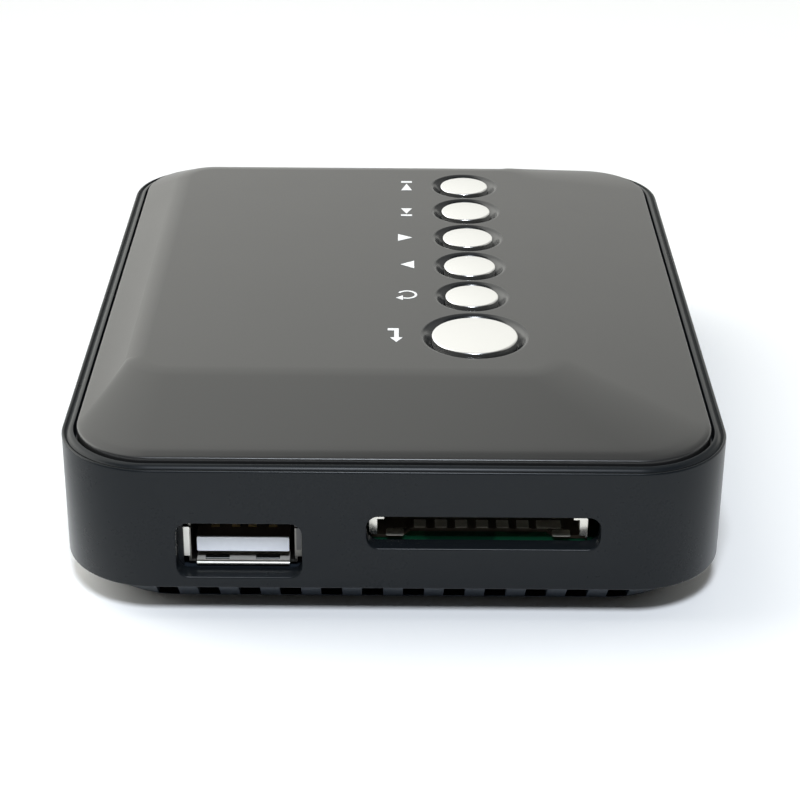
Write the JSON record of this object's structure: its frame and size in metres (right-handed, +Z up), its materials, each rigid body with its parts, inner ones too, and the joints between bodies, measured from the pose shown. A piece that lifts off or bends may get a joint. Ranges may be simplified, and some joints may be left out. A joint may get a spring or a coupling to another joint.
{
  "type": "media player",
  "caption": "Small closed media player box with a bevelled lid, a column of round push buttons, USB and card sockets in front and video, sound and power sockets behind.",
  "frame": {"origin": "on the surface it stands on, under the middle of the box", "axes": "+Z up, -Y towards the front with the USB and card sockets, +X to the right seen from the front"},
  "size_m": [0.0808, 0.1014, 0.0236],
  "materials": {
    "lid_plastic": "satin black moulded plastic",
    "band_plastic": "smooth blue-black moulded plastic",
    "bottom_plastic": "black moulded plastic",
    "foot_rubber": "black rubber",
    "cap_silver": "pale silver painted plastic",
    "plunger_plastic": "black plastic",
    "switch_plastic": "black plastic",
    "board_green": "green solder mask",
    "black_screw": "blackened steel",
    "steel_screw": "zinc-plated steel",
    "socket_steel": "nickel-plated sheet",
    "white_plastic": "white plastic",
    "contact_gold": "gold-plated contacts",
    "tinned_metal": "tin-plated metal",
    "socket_plastic": "black plastic",
    "sink_aluminium": "plain extruded aluminium",
    "pad_silicone": "soft silicone pad",
    "can_aluminium": "drawn aluminium cans",
    "ferrite": "ferrite",
    "ceramic": "ceramic with tinned ends",
    "chip_epoxy": "black epoxy"
  },
  "bodies": {
    "case": {"av_jack": "socket_plastic", "av_jack_terminals": "tinned_metal", "bottom_cover": "bottom_plastic", "case_screws": "black_screw", "chip_capacitors": "ceramic", "clock_crystal": "can_aluminium", "dc_jack": "socket_plastic", "dc_jack_pin": "tinned_metal", "dc_jack_terminals": "tinned_metal", "electrolytic_capacitors": "can_aluminium", "flash_chip": "chip_epoxy", "hdmi_contacts": "contact_gold", "hdmi_shell": "socket_steel", "hdmi_tongue": "socket_plastic", "heat_sink": "sink_aluminium", "ir_receiver": "chip_epoxy", "key_board": "board_green", "key_board_screws": "steel_screw", "link_header": "socket_plastic", "link_pins": "contact_gold", "link_socket": "socket_plastic", "main_board": "board_green", "main_board_screws": "steel_screw", "memory_chip_1": "chip_epoxy", "memory_chip_2": "chip_epoxy", "power_inductors": "ferrite", "processor_chip": "chip_epoxy", "regulator_chip": "chip_epoxy", "rubber_foot_back_left": "foot_rubber", "rubber_foot_back_right": "foot_rubber", "rubber_foot_front_left": "foot_rubber", "rubber_foot_front_right": "foot_rubber", "sd_base": "socket_plastic", "sd_contacts": "contact_gold", "sd_cover": "socket_steel", "side_band": "band_plastic", "switch_down": "switch_plastic", "switch_enter": "switch_plastic", "switch_left": "switch_plastic", "switch_return": "switch_plastic", "switch_right": "switch_plastic", "switch_up": "switch_plastic", "thermal_pad": "pad_silicone", "top_cover": "lid_plastic", "usb_contacts": "contact_gold", "usb_shell": "socket_steel", "usb_tongue": "white_plastic"},
    "enter_button": {"button_enter": "cap_silver", "plunger_enter": "plunger_plastic"},
    "return_button": {"button_return": "cap_silver", "plunger_return": "plunger_plastic"},
    "up_button": {"button_up": "cap_silver", "plunger_up": "plunger_plastic"},
    "down_button": {"button_down": "cap_silver", "plunger_down": "plunger_plastic"},
    "left_button": {"button_left": "cap_silver", "plunger_left": "plunger_plastic"},
    "right_button": {"button_right": "cap_silver", "plunger_right": "plunger_plastic"}
  },
  "joints": [
    {"name": "press_enter", "type": "slide", "parent": "case", "child": "enter_button", "axis": [0, 0, -1], "range_m": [0, 0.0003], "stiffness_N_per_m": 3000},
    {"name": "press_return", "type": "slide", "parent": "case", "child": "return_button", "axis": [0, 0, -1], "range_m": [0, 0.0003], "stiffness_N_per_m": 3000},
    {"name": "press_up", "type": "slide", "parent": "case", "child": "up_button", "axis": [0, 0, -1], "range_m": [0, 0.0003], "stiffness_N_per_m": 3000},
    {"name": "press_down", "type": "slide", "parent": "case", "child": "down_button", "axis": [0, 0, -1], "range_m": [0, 0.0003], "stiffness_N_per_m": 3000},
    {"name": "press_left", "type": "slide", "parent": "case", "child": "left_button", "axis": [0, 0, -1], "range_m": [0, 0.0003], "stiffness_N_per_m": 3000},
    {"name": "press_right", "type": "slide", "parent": "case", "child": "right_button", "axis": [0, 0, -1], "range_m": [0, 0.0003], "stiffness_N_per_m": 3000}
  ]
}
